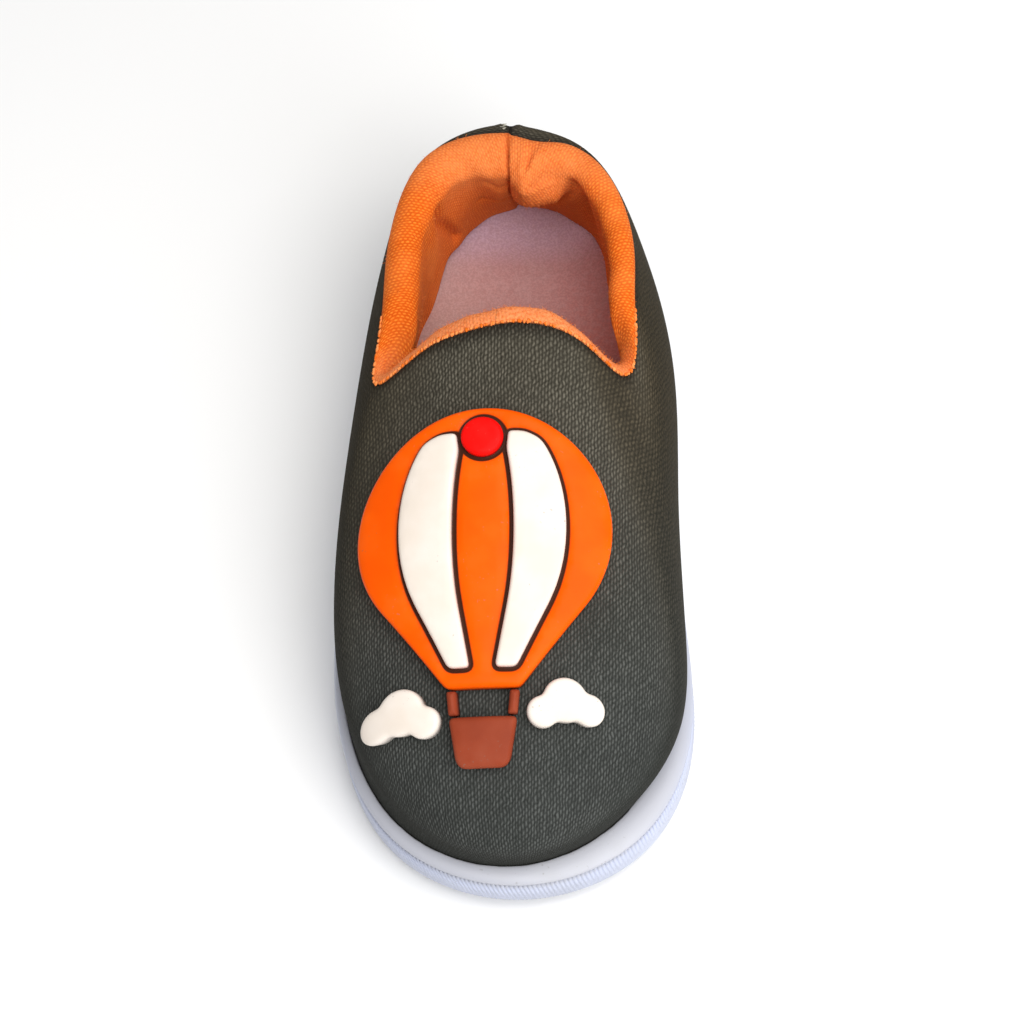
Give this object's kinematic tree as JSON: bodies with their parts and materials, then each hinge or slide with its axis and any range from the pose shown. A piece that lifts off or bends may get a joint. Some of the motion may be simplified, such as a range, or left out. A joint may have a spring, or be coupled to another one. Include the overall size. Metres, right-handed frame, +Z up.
{
  "type": "slip-on sneaker",
  "caption": "Toddler's slip-on sneaker for the right foot: woven upper, padded orange collar, white moulded cup sole and a soft moulded balloon badge on the vamp.",
  "frame": {"origin": "middle of the shoe's bounding box, on the floor plane under the sole", "axes": "+Z up, toe toward -Y, heel toward +Y, medial (big-toe) side toward +X"},
  "size_m": [0.0645, 0.1403, 0.0484],
  "materials": {
    "sole": "white moulded rubber, smooth rim, finely ribbed side",
    "upper": "dark olive-grey woven cloth",
    "collar": "orange looped knit over soft padding",
    "insole": "pale pink-lilac foam-backed cloth",
    "badge_orange": "soft moulded plastic, satin",
    "badge_cream": "soft moulded plastic, satin",
    "badge_brown": "soft moulded plastic, satin",
    "badge_red": "soft moulded plastic, satin"
  },
  "bodies": {
    "root": {"sole": "sole", "upper": "upper", "collar": "collar", "insole": "insole", "badge_envelope": "badge_orange", "badge_gore_lateral": "badge_cream", "badge_gore_medial": "badge_cream", "badge_crown": "badge_red", "badge_rope_lateral": "badge_brown", "badge_rope_medial": "badge_brown", "badge_basket": "badge_brown", "badge_cloud_lateral": "badge_cream", "badge_cloud_medial": "badge_cream"}
  },
  "joints": []
}
